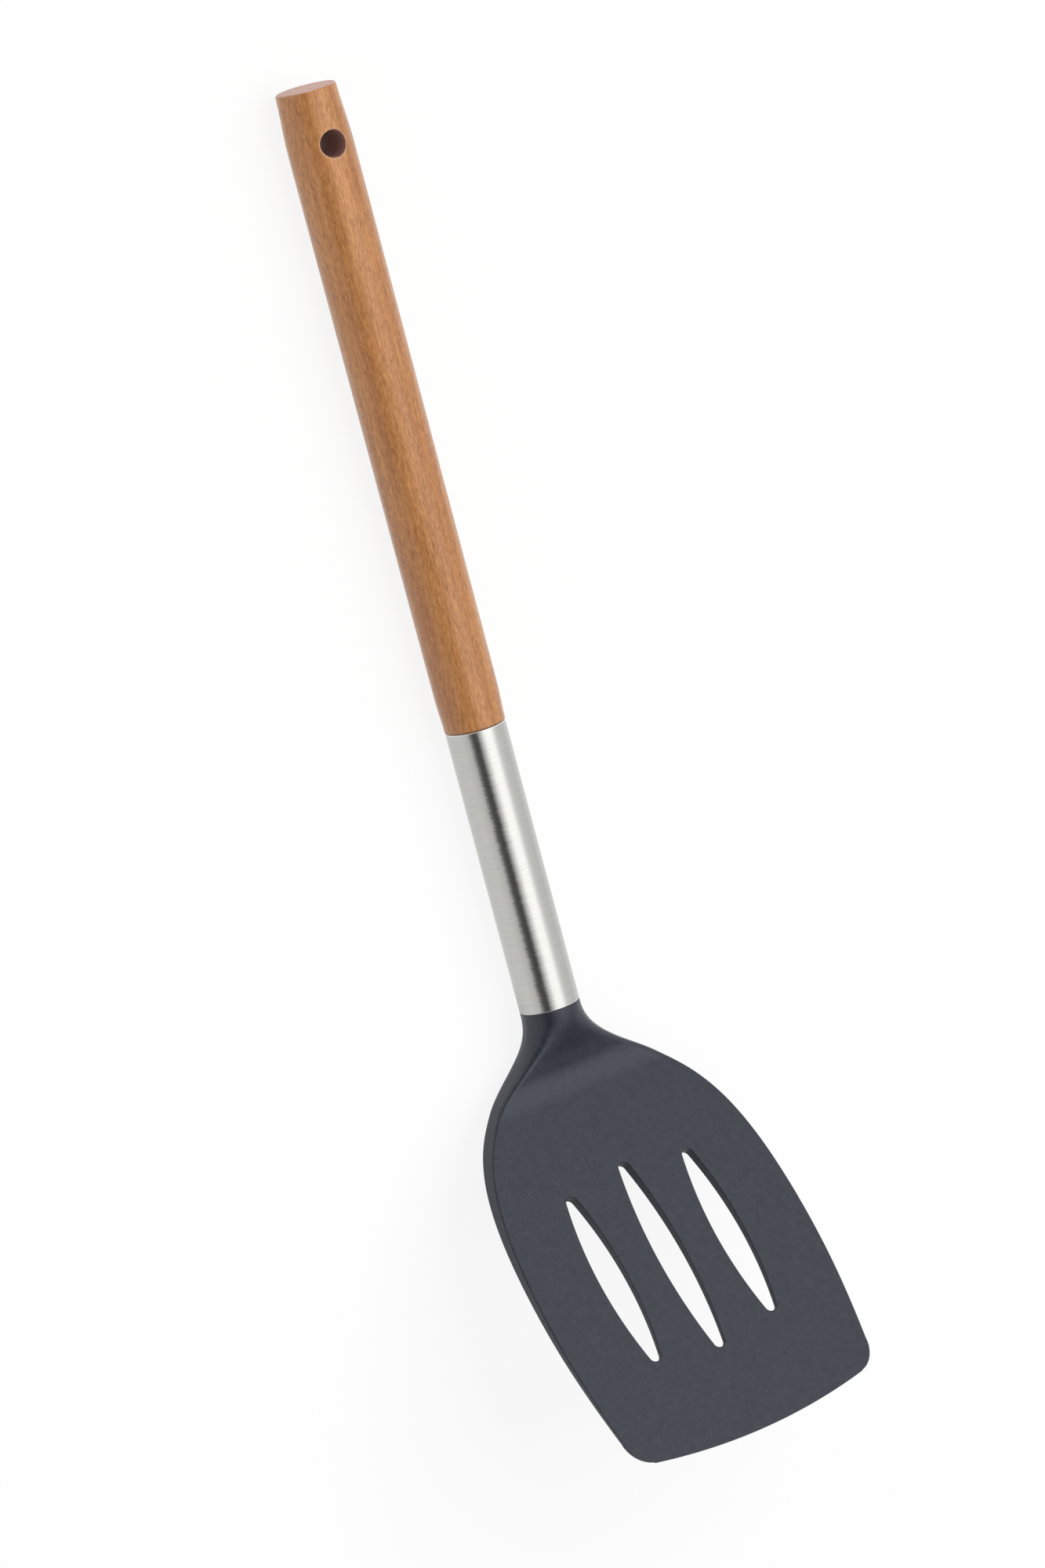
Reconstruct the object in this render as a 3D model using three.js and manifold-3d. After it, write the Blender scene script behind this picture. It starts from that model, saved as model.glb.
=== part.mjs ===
// A slotted kitchen turner: a turned wooden handle and a moulded nylon head, each glued into one end
// of a brushed steel tube. Millimetres, +Z up, food side up. +X runs from the handle to the blade.
import * as THREE from 'three';
import { mergeVertices } from 'three/addons/utils/BufferGeometryUtils.js';
import Module from 'manifold-3d';

const wasm = await Module();
wasm.setup();

const degrees = THREE.MathUtils.degToRad;

// Wooden handle
const handleLength = 170.5;
const handleEndDiameter = 15.9;
const handleGripDiameter = 17.2;
const handleLowerDiameter = 16.8;
const handleMouthDiameter = 16.1;
const handleEndTaperLength = 16;
const handleLowerTaperLength = 10;
const handleRimRound = 0.8;
const hangHoleDiameter = 7;
const hangHoleFromEnd = 14.6;
const hangHoleTurn = degrees(4.5);
const tenonLength = 28;

// Steel tube
const tubeDiameter = 16;
const tubeWall = 0.8;
const tubeLength = 76.5;
const tubeRimRound = 0.3;

// Glue joints: a film fills the bore round the tenon and the tang, less a clearance on each side
const glueThickness = 0.25;
const fitClearance = 0.05;
const glueEndMargin = 2;
const plugLeadIn = 1.2;

// Nylon head: the round tang and the neck
const tangLength = 26;
const neckLength = 17.5;
const neckCollarLength = 0.8;
const neckEdgeRound = 0.3;
const neckFlatDepth = 1.05;
const neckFlatSlope = degrees(-10.5);
const neckBellySlope = degrees(8);

// Nylon head: the blade, measured along its food face from the bend
const bladeLength = 107.9;
const bladeWidth = 83.2;
const bladeFrontWidth = 77.4;
const bladeWidestAt = 64;
const bladeFrontThickness = 0.7;
const bladeTaper = degrees(2.05);
const bladeBend = degrees(28.6);
const foodFaceOffset = 2;
const frontEdgeRadius = 175;
const frontBowStart = 45;
const bladeCornerRadius = 5.5;
const bladeEdgeRound = 0.8;
const bladeSideDraft = degrees(9);
const bladeEdgeRoundShare = 1 / 3;
const bladeHeelRoundShare = 0.2;
const bladeFlatFrom = 15;
const bendInnerRadius = 9;
const heelRadius = 30;

// Nylon head: where the outline turns from the neck's flare into the shoulder
const shoulderAt = 5;
const shoulderHalfWidth = 25;
const shoulderSlope = degrees(46);
const flareNeckHandle = 9.8;
const flareShoulderHandle = 8;
const shoulderHandle = 13;
const widestHandle = 34;

// Nylon head: lens-shaped slots
const slotWidth = 8.2;
const slotEndRadius = 1.6;
const slotCentreAt = 56.5;
const slotPitch = 18.45;
const middleSlotLength = 54.8;
const sideSlotLength = 48.3;

// Facet counts, and the angles where the arcs of the head's rings begin and end on the round stem
const roundSegments = 40;
const holeSegments = 24;
const rimSteps = 3;
const taperSteps = 6;
const neckSteps = 14;
const shoulderSteps = 14;
const sideSteps = 6;
const cornerSteps = 5;
const capSegments = 6;
const upperArcSegments = 4;
const lowerArcSegments = 6;
const sideSegments = upperArcSegments + 1 + lowerArcSegments;
const slotArcSegments = 12;
const stemWallAngle = degrees(3);
const stemBellyAngle = degrees(12);

// Places along the handle's axis, with the bend at zero
const neckStart = -neckLength;
const tubeStart = neckStart - tubeLength;
const handleEnd = tubeStart - handleLength;

// Radii that the joints share
const tubeRadius = tubeDiameter / 2;
const boreRadius = tubeRadius - tubeWall;
const glueOuterRadius = boreRadius - fitClearance;
const glueInnerRadius = glueOuterRadius - glueThickness;
const plugRadius = glueInnerRadius - fitClearance;

/** Merges shared corners, drops collapsed triangles and turns the faces outwards. */
function closedSolid(geometry) {
  const bare = new THREE.BufferGeometry();
  bare.setAttribute('position', geometry.getAttribute('position'));
  if (geometry.index) bare.setIndex(geometry.index);
  const merged = mergeVertices(bare, 1e-4);
  const position = merged.getAttribute('position');
  const index = merged.index.array;
  const corners = [new THREE.Vector3(), new THREE.Vector3(), new THREE.Vector3()];
  const kept = [];
  let volume = 0;
  for (let i = 0; i < index.length; i += 3) {
    const [a, b, c] = index.slice(i, i + 3);
    if (a === b || b === c || c === a) continue;
    kept.push(a, b, c);
    [a, b, c].forEach((vertex, k) => corners[k].fromBufferAttribute(position, vertex));
    volume += corners[0].dot(corners[1].clone().cross(corners[2])) / 6;
  }
  if (volume < 0) kept.reverse();
  const solid = new THREE.BufferGeometry();
  solid.setAttribute('position', position);
  solid.setIndex(kept);
  solid.computeVertexNormals();
  return solid;
}

function toManifold(geometry) {
  return new wasm.Manifold(new wasm.Mesh({
    numProp: 3,
    vertProperties: new Float32Array(geometry.getAttribute('position').array),
    triVerts: new Uint32Array(geometry.index.array),
  }));
}

function fromManifold(manifold) {
  const { vertProperties, triVerts } = manifold.getMesh();
  const geometry = new THREE.BufferGeometry();
  geometry.setAttribute('position', new THREE.BufferAttribute(vertProperties, 3));
  geometry.setIndex(new THREE.BufferAttribute(triVerts, 1));
  return closedSolid(geometry);
}

/** Cuts each tool out of a solid. */
function cut(geometry, tools) {
  const body = tools.reduce((left, tool) => left.subtract(toManifold(tool)), toManifold(geometry));
  return fromManifold(body);
}

/** Spins a profile of [along X, radius] pairs about the X axis. */
function turned(profile) {
  const points = profile.map(([x, radius]) => new THREE.Vector2(radius, x));
  return closedSolid(new THREE.LatheGeometry(points, roundSegments).rotateZ(-Math.PI / 2));
}

/** Points of a smooth run from one [x, radius] to another, flat at both ends. */
function easedRun([x0, r0], [x1, r1]) {
  return Array.from({ length: taperSteps + 1 }, (_, i) => {
    const t = i / taperSteps;
    return [x0 + (x1 - x0) * t, r0 + (r1 - r0) * THREE.MathUtils.smoothstep(t, 0, 1)];
  });
}

/** Quarter round from a flat end at x to the full radius. `towards` is the sign of the way to the body. */
function endRound(x, radius, round, towards) {
  return Array.from({ length: rimSteps + 1 }, (_, i) => {
    const angle = (i / rimSteps) * Math.PI / 2;
    return [x + towards * round * (1 - Math.cos(angle)), radius - round * (1 - Math.sin(angle))];
  });
}

function woodenHandle() {
  const endRadius = handleEndDiameter / 2;
  const gripStart = [handleEnd + handleEndTaperLength, handleGripDiameter / 2];
  const lowerEnd = [tubeStart - handleLowerTaperLength, handleLowerDiameter / 2];
  const rimEnd = [handleEnd + handleRimRound, endRadius];
  const tenonEnd = tubeStart + tenonLength;
  const wood = turned([
    [handleEnd, 0],
    ...endRound(handleEnd, endRadius, handleRimRound, 1),
    ...easedRun(rimEnd, gripStart).slice(1),
    ...easedRun(lowerEnd, [tubeStart, handleMouthDiameter / 2]),
    [tubeStart, plugRadius],
    [tenonEnd - plugLeadIn, plugRadius],
    [tenonEnd, plugRadius - plugLeadIn],
    [tenonEnd, 0],
  ]);
  const holeRadius = hangHoleDiameter / 2;
  const drill = new THREE.CylinderGeometry(holeRadius, holeRadius, 2 * handleGripDiameter, holeSegments);
  drill.rotateX(Math.PI / 2 + hangHoleTurn);
  drill.translate(handleEnd + hangHoleFromEnd, 0, 0);
  return cut(wood, [closedSolid(drill)]);
}

function steelTube() {
  const rim = [
    ...endRound(tubeStart, tubeRadius, tubeRimRound, 1),
    ...endRound(neckStart, tubeRadius, tubeRimRound, -1).reverse(),
  ];
  return turned([[tubeStart, boreRadius], ...rim, [neckStart, boreRadius], [tubeStart, boreRadius]]);
}

/** A glue film between a plug and the bore, short of both ends of the plug. */
function glueSleeve(plugFrom, plugTo) {
  const from = plugFrom + glueEndMargin;
  const to = plugTo - glueEndMargin;
  return turned([
    [from, glueInnerRadius], [from, glueOuterRadius], [to, glueOuterRadius], [to, glueInnerRadius],
    [from, glueInnerRadius],
  ]);
}

/** Height of two lines over x, joined by an arc. Each line is { x, z, slope }. */
function bentLine(first, second, radius) {
  const rise = [first, second].map((line) => Math.tan(line.slope));
  const base = [first, second].map((line, i) => line.z - rise[i] * line.x);
  const meet = (base[0] - base[1]) / (rise[1] - rise[0]);
  const reach = radius * Math.tan(Math.abs(second.slope - first.slope) / 2);
  const arcStart = meet - reach * Math.cos(first.slope);
  const arcEnd = meet + reach * Math.cos(second.slope);
  const side = Math.sign(second.slope - first.slope);
  const centreX = arcStart - side * radius * Math.sin(first.slope);
  const centreZ = base[0] + rise[0] * arcStart + side * radius * Math.cos(first.slope);
  return (x) => {
    if (x < arcStart) return base[0] + rise[0] * x;
    if (x > arcEnd) return base[1] + rise[1] * x;
    return centreZ - side * Math.sqrt(Math.max(radius ** 2 - (x - centreX) ** 2, 0));
  };
}

// The food face runs from a foot close to the bend, so many millimetres along the blade, to the front
const faceFoot = [-foodFaceOffset * Math.sin(bladeBend), foodFaceOffset * Math.cos(bladeBend)];
const alongBlade = (s) => faceFoot[0] + s * Math.cos(bladeBend);
const frontX = alongBlade(bladeLength);
const frontZ = faceFoot[1] + bladeLength * Math.sin(bladeBend);

const foodSide = bentLine(
  { x: neckStart, z: tubeRadius - neckFlatDepth, slope: neckFlatSlope },
  { x: faceFoot[0], z: faceFoot[1], slope: bladeBend },
  bendInnerRadius,
);
const underside = bentLine(
  { x: neckStart, z: -tubeRadius, slope: neckBellySlope },
  {
    x: frontX + bladeFrontThickness * Math.sin(bladeBend),
    z: frontZ - bladeFrontThickness * Math.cos(bladeBend),
    slope: bladeBend + bladeTaper,
  },
  heelRadius,
);

/** Half width of the head's outline over its stations, as three curves from neck to front corner. */
function outline() {
  const shoulder = new THREE.Vector2(alongBlade(shoulderAt), shoulderHalfWidth);
  const widest = new THREE.Vector2(alongBlade(bladeWidestAt), bladeWidth / 2);
  const cornerX = alongBlade(bladeLength - bladeCornerRadius);
  const corner = new THREE.Vector2(cornerX, bladeFrontWidth / 2);
  const neck = new THREE.Vector2(neckStart + neckCollarLength, tubeRadius);
  const lean = new THREE.Vector2(Math.cos(shoulderSlope), Math.sin(shoulderSlope));
  const ahead = new THREE.Vector2(1, 0);
  const step = (from, direction, length) => from.clone().addScaledVector(direction, length);
  // The side is close to an arc, so it leans at the corner by twice the slope of its chord
  const sideLean = 2 * Math.atan2(widest.y - corner.y, corner.x - widest.x);
  const sideBack = new THREE.Vector2(-Math.cos(sideLean), Math.sin(sideLean));
  const sideHandle = (corner.x - widest.x) / 3;
  return [
    new THREE.CubicBezierCurve(
      neck, step(neck, ahead, flareNeckHandle), step(shoulder, lean, -flareShoulderHandle), shoulder,
    ),
    new THREE.CubicBezierCurve(
      shoulder, step(shoulder, lean, shoulderHandle), step(widest, ahead, -widestHandle), widest,
    ),
    new THREE.CubicBezierCurve(
      widest, step(widest, ahead, sideHandle), step(corner, sideBack, sideHandle), corner,
    ),
  ];
}

/** Stations along the head: [x, half width, share of the front edge's bow]. */
function headStations() {
  const [flare, shoulder, side] = outline();
  const bow = (x) => THREE.MathUtils.smoothstep(x, alongBlade(frontBowStart), frontX - bladeCornerRadius);
  const run = (curve, steps) => curve.getPoints(steps).slice(1).map(({ x, y }) => [x, y, bow(x)]);
  const arcX = frontX - bladeCornerRadius;
  const corner = Array.from({ length: cornerSteps }, (_, i) => {
    const angle = ((i + 1) / cornerSteps) * Math.PI / 2;
    const halfWidth = bladeFrontWidth / 2 - bladeCornerRadius * (1 - Math.cos(angle));
    return [arcX + bladeCornerRadius * Math.sin(angle), halfWidth, 1];
  });
  const start = flare.getPoint(0);
  return [
    [start.x, start.y, 0], ...run(flare, neckSteps), ...run(shoulder, shoulderSteps),
    ...run(side, sideSteps), ...corner,
  ];
}

// Angle of the flank where the flat on the neck cuts the round stem
const creaseAngle = Math.asin((tubeRadius - neckFlatDepth) / tubeRadius);

/** Ring of points round the stem: a cap between the two creases, then the belly below them. */
function roundRing(x, radius) {
  const ring = [];
  const cap = Math.PI - 2 * creaseAngle;
  for (let i = 0; i <= capSegments; i += 1) {
    const angle = Math.PI - creaseAngle - cap * (i / capSegments);
    ring.push([x, radius * Math.cos(angle), radius * Math.sin(angle)]);
  }
  const arcs = (from, to, steps) => {
    for (let i = 1; i <= steps; i += 1) {
      const angle = from + (to - from) * (i / steps);
      ring.push([x, radius * Math.cos(angle), radius * Math.sin(angle)]);
    }
  };
  const below = -Math.PI / 2;
  arcs(creaseAngle, stemWallAngle, upperArcSegments);
  arcs(stemWallAngle, -stemWallAngle, 1);
  arcs(-stemWallAngle, below + stemBellyAngle, lowerArcSegments);
  arcs(below + stemBellyAngle, below - stemBellyAngle, capSegments);
  arcs(below - stemBellyAngle, -Math.PI + stemWallAngle, lowerArcSegments);
  arcs(-Math.PI + stemWallAngle, -Math.PI - stemWallAngle, 1);
  arcs(-Math.PI - stemWallAngle, -Math.PI - creaseAngle, upperArcSegments);
  ring.pop();
  return ring;
}

/** Ring of points round the neck or the blade at a station, in the same order as roundRing. */
function headRing([stationX, halfWidth, bow]) {
  const plate = THREE.MathUtils.smoothstep(stationX, neckStart, alongBlade(bladeFlatFrom));
  const top = foodSide(stationX);
  const depth = top - underside(stationX);
  const upper = Math.min(
    THREE.MathUtils.lerp(tubeRadius, bladeEdgeRound, Math.sqrt(plate)),
    depth * bladeEdgeRoundShare + tubeRadius * (1 - plate),
  );
  const creaseY = halfWidth - upper * (1 - Math.cos(creaseAngle));
  const wallTop = top - upper * Math.sin(creaseAngle);
  const wallHeight = wallTop - underside(stationX);
  const lower = wallHeight * THREE.MathUtils.lerp(1, bladeHeelRoundShare, plate);
  const flare = plate * (wallHeight - lower) * Math.tan(bladeSideDraft);
  const half = [];
  for (let i = 0; i <= upperArcSegments; i += 1) {
    const angle = creaseAngle * (1 - i / upperArcSegments);
    half.push([halfWidth - upper * (1 - Math.cos(angle)), wallTop + upper * Math.sin(angle)]);
  }
  for (let i = 0; i <= lowerArcSegments; i += 1) {
    const angle = (i / lowerArcSegments) * Math.PI / 2;
    const y = halfWidth + flare - lower * (1 - Math.cos(angle));
    half.push([y, underside(stationX) + lower * (1 - Math.sin(angle))]);
  }
  const [bottomY, bottomZ] = half[half.length - 1];
  const across = (edge, z) => Array.from({ length: capSegments - 1 }, (_, i) => [
    edge * (2 * (i + 1) / capSegments - 1), z,
  ]);
  const ring = [
    [-creaseY, top], ...across(creaseY, top), ...half,
    ...across(-bottomY, bottomZ), ...half.slice(1).reverse().map(([y, z]) => [-y, z]),
  ];
  const frontSag = (y) => bow * (frontEdgeRadius - Math.sqrt(frontEdgeRadius ** 2 - y ** 2));
  return ring.map(([y, z]) => {
    const x = stationX - frontSag(y) * Math.cos(bladeBend);
    const slide = (z - top) / depth;
    return [x, y, foodSide(x) + slide * (foodSide(x) - underside(x))];
  });
}

/** Skins a list of rings, closing the first with a fan and the last with a strip across its thickness. */
function skinned(rings) {
  const size = rings[0].length;
  const positions = rings.flat(2);
  const index = [];
  for (let r = 0; r + 1 < rings.length; r += 1) {
    for (let i = 0; i < size; i += 1) {
      const a = r * size + i;
      const b = r * size + (i + 1) % size;
      index.push(a, b, a + size, b, b + size, a + size);
    }
  }
  const centre = positions.length / 3;
  const start = rings[0].reduce((sum, point) => sum.map((value, k) => value + point[k] / size), [0, 0, 0]);
  positions.push(...start);
  for (let i = 0; i < size; i += 1) index.push((i + 1) % size, i, centre);
  const last = (rings.length - 1) * size;
  const lowRight = capSegments + sideSegments;
  const lowLeft = lowRight + capSegments;
  const close = (...corners) => index.push(...corners.map((corner) => last + corner));
  for (let i = 0; i < capSegments; i += 1) {
    close(i, i + 1, lowLeft - i - 1);
    close(i, lowLeft - i - 1, lowLeft - i);
  }
  for (let i = capSegments + 1; i < lowRight; i += 1) close(capSegments, i, i + 1);
  for (let i = lowLeft; i < size - 1; i += 1) close(0, i, i + 1);
  const geometry = new THREE.BufferGeometry();
  geometry.setAttribute('position', new THREE.Float32BufferAttribute(positions, 3));
  geometry.setIndex(index);
  return closedSolid(geometry);
}

/** A lens between two large arcs with rounded ends, cut square through the blade. */
function slotTool(length, y) {
  const halfLength = length / 2;
  const halfWidth = slotWidth / 2;
  const endCentre = halfLength - slotEndRadius;
  const sideBulge = 2 * (halfWidth - slotEndRadius);
  const arcRadius = (endCentre ** 2 + halfWidth ** 2 - slotEndRadius ** 2) / sideBulge;
  const arcCentre = arcRadius - halfWidth;
  const lean = Math.atan2(arcCentre, endCentre);
  const shape = new THREE.Shape();
  shape.absarc(0, -arcCentre, arcRadius, lean, Math.PI - lean, false);
  shape.absarc(-endCentre, 0, slotEndRadius, Math.PI - lean, Math.PI + lean, false);
  shape.absarc(0, arcCentre, arcRadius, Math.PI + lean, 2 * Math.PI - lean, false);
  shape.absarc(endCentre, 0, slotEndRadius, -lean, lean, false);
  const depth = 2 * tubeDiameter;
  const settings = { depth, curveSegments: slotArcSegments, bevelEnabled: false };
  const lens = new THREE.ExtrudeGeometry(shape, settings);
  lens.translate(slotCentreAt, y, -depth / 2);
  lens.rotateY(-bladeBend);
  lens.translate(faceFoot[0], 0, faceFoot[1]);
  return closedSolid(lens);
}

function slottedHead() {
  const tangEnd = neckStart - tangLength;
  const body = skinned([
    roundRing(tangEnd, plugRadius - plugLeadIn),
    roundRing(tangEnd + plugLeadIn, plugRadius),
    roundRing(neckStart, plugRadius),
    roundRing(neckStart, tubeRadius - neckEdgeRound),
    roundRing(neckStart + neckEdgeRound, tubeRadius),
    roundRing(neckStart + neckCollarLength, tubeRadius),
    ...headStations().map(headRing),
  ]);
  return cut(body, [
    slotTool(middleSlotLength, 0), slotTool(sideSlotLength, slotPitch), slotTool(sideSlotLength, -slotPitch),
  ]);
}

function piece(name, geometry, colour, roughness, metalness) {
  const material = new THREE.MeshStandardMaterial({ color: colour, roughness, metalness });
  const mesh = new THREE.Mesh(geometry, material);
  mesh.name = name;
  return mesh;
}

const turner = new THREE.Group();
turner.add(
  piece('wooden_handle', woodenHandle(), 0x9c6538, 0.5, 0),
  piece('steel_tube', steelTube(), 0xb9b8b4, 0.32, 1),
  piece('slotted_head', slottedHead(), 0x42454d, 0.55, 0),
  piece('handle_glue_sleeve', glueSleeve(tubeStart, tubeStart + tenonLength), 0xd8c48a, 0.4, 0),
  piece('head_glue_sleeve', glueSleeve(neckStart - tangLength, neckStart), 0xd8c48a, 0.4, 0),
);
turner.position.set(-(handleEnd + frontX) / 2, 0, handleGripDiameter / 2);

export default turner;
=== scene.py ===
# %% [markdown]
# # A slotted turner: wood, steel and nylon
# The CAD model gives five solids that fit together: a turned handle, a steel tube, a moulded head and
# two films of glue. They are exact but faceted. This lesson replaces the three that show with fine
# surfaces of the same size, gives each its finish, and photographs the result on a white sweep.
# Everything stays in metres in the CAD model's own frame, so nothing has to be fitted afterwards.

import bmesh
import bpy
import numpy as np
from mathutils import Matrix, Vector


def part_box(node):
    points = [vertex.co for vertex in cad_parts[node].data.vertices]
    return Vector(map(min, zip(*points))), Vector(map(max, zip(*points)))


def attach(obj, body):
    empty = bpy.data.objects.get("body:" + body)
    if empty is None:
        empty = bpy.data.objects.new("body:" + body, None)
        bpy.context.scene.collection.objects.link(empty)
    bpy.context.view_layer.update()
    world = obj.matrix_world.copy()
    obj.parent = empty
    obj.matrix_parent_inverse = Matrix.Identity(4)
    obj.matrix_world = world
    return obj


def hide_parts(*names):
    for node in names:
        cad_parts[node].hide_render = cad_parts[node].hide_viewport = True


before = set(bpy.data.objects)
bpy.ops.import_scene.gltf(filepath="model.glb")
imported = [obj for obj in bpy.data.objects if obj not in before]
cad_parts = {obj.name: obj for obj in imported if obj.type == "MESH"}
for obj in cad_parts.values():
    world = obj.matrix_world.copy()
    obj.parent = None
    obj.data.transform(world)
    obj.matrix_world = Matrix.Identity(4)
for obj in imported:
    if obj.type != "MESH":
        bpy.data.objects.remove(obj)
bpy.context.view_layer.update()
print("CAD nodes:", ", ".join(sorted(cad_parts)))

# %% [markdown]
# ## Places that the frame already knows
# The tube is the backbone: its two ends are the joints, and its middle is the axis that the handle and
# the neck share. They could be typed in again as numbers. Reading them from the frame keeps every new
# surface on the solid that it stands for.

# %% Joints and axis
MM = 0.001
tube_low, tube_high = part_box("steel_tube")
wood_low, wood_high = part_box("wooden_handle")
head_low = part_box("slotted_head")[0]

tube_radius = (tube_high.z - tube_low.z) / 2
axis_height = (tube_high.z + tube_low.z) / 2
handle_end = wood_low.x
wood_joint = tube_low.x
head_joint = tube_high.x
tenon_end = wood_high.x
tang_end = head_low.x
print(f"handle {wood_joint - handle_end:.4f} m, tube {head_joint - wood_joint:.4f} m")

# %% [markdown]
# ## The camera
# The picture was taken from far away with a long lens, so parallel edges stay almost parallel. A camera
# could be moved by eye until the view agrees. Here three turns place the turner in front of it: the
# handle leans in the picture, its end comes towards the lens, and it is rolled about its own axis. The
# bend of the neck is the point that the view is hung on: it lands on a known pixel, at a known distance.

# %% Camera from three turns and one pixel
photo_width, photo_height = 1333, 2000
focal_pixels = 10000
bend_pixel = (722.4, 1362.6)
bend_distance = 2.0395
handle_lean = np.radians(14.881)
handle_towards_lens = np.radians(11.826)
handle_roll = np.radians(29.202)
sensor_height_mm = 36
neck_length = 17.5 * MM
bend = Vector((head_joint + neck_length, 0, axis_height))


def photo_axes(lean, towards, roll):
    """Directions of the turner's X, Y and Z in the picture: right, down and away from the lens.

    X runs down the handle. Square to it lie one direction in the picture and one that points away.
    Y is the first of these turned by the roll towards the second, and Z is square to both.
    """
    x_axis = np.array([np.sin(lean) * np.cos(towards), np.cos(lean) * np.cos(towards), np.sin(towards)])
    across = np.array([np.cos(lean), -np.sin(lean), 0])
    away = np.array([-np.sin(lean) * np.sin(towards), -np.cos(lean) * np.sin(towards), np.cos(towards)])
    y_axis = np.cos(roll) * across + np.sin(roll) * away
    z_axis = np.sin(roll) * across - np.cos(roll) * away
    return np.column_stack([x_axis, y_axis, z_axis])


def add_camera():
    """A camera whose matrix undoes the three turns, backed off so that the bend lands on its pixel."""
    lens_flip = np.diag([1, -1, -1])
    turn = Matrix((lens_flip @ photo_axes(handle_lean, handle_towards_lens, handle_roll)).T.tolist())
    right = (bend_pixel[0] - photo_width / 2) / focal_pixels
    down = (bend_pixel[1] - photo_height / 2) / focal_pixels
    bend_in_view = Vector((right, -down, -1)) * bend_distance
    camera = bpy.data.objects.new("photo_camera", bpy.data.cameras.new("photo_camera"))
    camera.matrix_world = Matrix.Translation(bend - turn @ bend_in_view) @ turn.to_4x4()
    camera.data.sensor_fit = "VERTICAL"
    camera.data.sensor_height = sensor_height_mm
    camera.data.lens = focal_pixels / photo_height * sensor_height_mm
    bpy.context.scene.collection.objects.link(camera)
    bpy.context.scene.camera = camera
    return camera


camera = add_camera()
print(f"lens {camera.data.lens:.0f} mm, {(camera.location - bend).length:.3f} m from the bend")

# %% [markdown]
# ## Sewing surfaces from grids
# Each piece is a few patches. A patch is a grid of points, worked out as one array, and each cell of
# the grid becomes a face. Patches meet point on point, so merging the doubles closes the seams, and
# the faces are then turned outwards together. Counting the edges that don't have two faces shows at
# once whether a piece is closed.

# %% Patches to a mesh
WELD = 1e-6


def grid_faces(rows, columns):
    """Corner numbers of the faces between neighbouring rows and columns."""
    corner = np.arange(rows * columns).reshape(rows, columns)
    return np.stack([corner[:-1, :-1], corner[1:, :-1], corner[1:, 1:], corner[:-1, 1:]], axis=-1)


def sewn(name, patches):
    """One closed piece from patches: grids of points, each with a mask of its faces or None for all."""
    points = []
    faces = []
    count = 0
    for grid, kept in patches:
        quads = grid_faces(*grid.shape[:2])
        faces.append((quads.reshape(-1, 4) if kept is None else quads[kept]) + count)
        points.append(grid.reshape(-1, 3))
        count += len(points[-1])
    mesh = bpy.data.meshes.new(name)
    mesh.from_pydata(np.concatenate(points), [], np.concatenate(faces))
    work = bmesh.new()
    work.from_mesh(mesh)
    bmesh.ops.remove_doubles(work, verts=work.verts, dist=WELD)
    bmesh.ops.recalc_face_normals(work, faces=work.faces)
    work.to_mesh(mesh)
    work.free()
    mesh.shade_smooth()
    edges = np.empty(len(mesh.loops), dtype=np.int32)
    mesh.loops.foreach_get("edge_index", edges)
    loose = np.count_nonzero(np.bincount(edges) != 2)
    piece = bpy.data.objects.new(name, mesh)
    bpy.context.scene.collection.objects.link(piece)
    piece.modifiers.new("even_shading", "WEIGHTED_NORMAL")
    print(f"{name}: {len(mesh.polygons)} faces, {loose} open edges")
    return piece


print(f"points closer than {WELD} m are welded")

# %% Shares, rounds and turning
rim_steps = 6


def smoothstep(value, low, high):
    """0 below low, 1 above high, and an even rise with level ends between them."""
    share = np.clip((value - low) / (high - low), 0, 1)
    return share * share * (3 - 2 * share)


def blend(first, second, share):
    """Straight mixture: the first at share 0, the second at share 1."""
    return first + (second - first) * share


def quarter_round():
    """Shares of a quarter circle's two sides, from level to upright: 1 - cosine and 1 - sine."""
    angle = np.linspace(0, np.pi / 2, rim_steps + 1)
    return 1 - np.cos(angle), 1 - np.sin(angle)


def turned(x, radius, angle):
    """Points turned about the axis: Y is the radius times the angle's sine, Z the same with its cosine."""
    y = radius * np.sin(angle)
    z = axis_height + radius * np.cos(angle)
    return np.stack(np.broadcast_arrays(x, y, z), axis=-1)


print(f"small rounds have {rim_steps} steps")

# %% [markdown]
# ## The wooden handle
# The handle is turned on a lathe, so its outline is a radius that changes along the axis: a rounded
# end, a slight swell into the grip, and an easing where it meets the steel. The hanging hole is drilled
# across it. A boolean cut would leave ragged shading round the hole, so the cells there are left out of
# the lathe's grid and replaced by a patch that runs from the rectangle of missing cells to the round
# rim, and on over a softened edge into the bore.

# %% Handle outline
end_radius = 7.95 * MM
grip_radius = 8.6 * MM
lower_radius = 8.4 * MM
mouth_radius = 8.05 * MM
end_taper = 16 * MM
mouth_taper = 10 * MM


def handle_radius(x):
    """The swell at the end, the slow thinning of the grip and the easing at the mouth, added up."""
    grip_from = handle_end + end_taper
    mouth_from = wood_joint - mouth_taper
    swell = (grip_radius - end_radius) * smoothstep(x, handle_end, grip_from)
    thinning = (lower_radius - grip_radius) * np.clip((x - grip_from) / (mouth_from - grip_from), 0, 1)
    easing = (mouth_radius - lower_radius) * smoothstep(x, mouth_from, wood_joint)
    return end_radius + swell + thinning + easing


print(f"grip {2 * grip_radius:.4f} m thick, {2 * mouth_radius:.4f} m at the steel")

# %% Rows along the handle
end_round = 0.8 * MM
mouth_round = 0.3 * MM
plug_radius = 6.85 * MM
plug_lead_in = 1.2 * MM
hole_from_end = 14.6 * MM
block_half_length = 8 * MM
hole_rows = 32
rows_before_hole = 12
rows_after_hole = 150
hole_x = handle_end + hole_from_end
block_x = np.linspace(hole_x - block_half_length, hole_x + block_half_length, hole_rows + 1)


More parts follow.
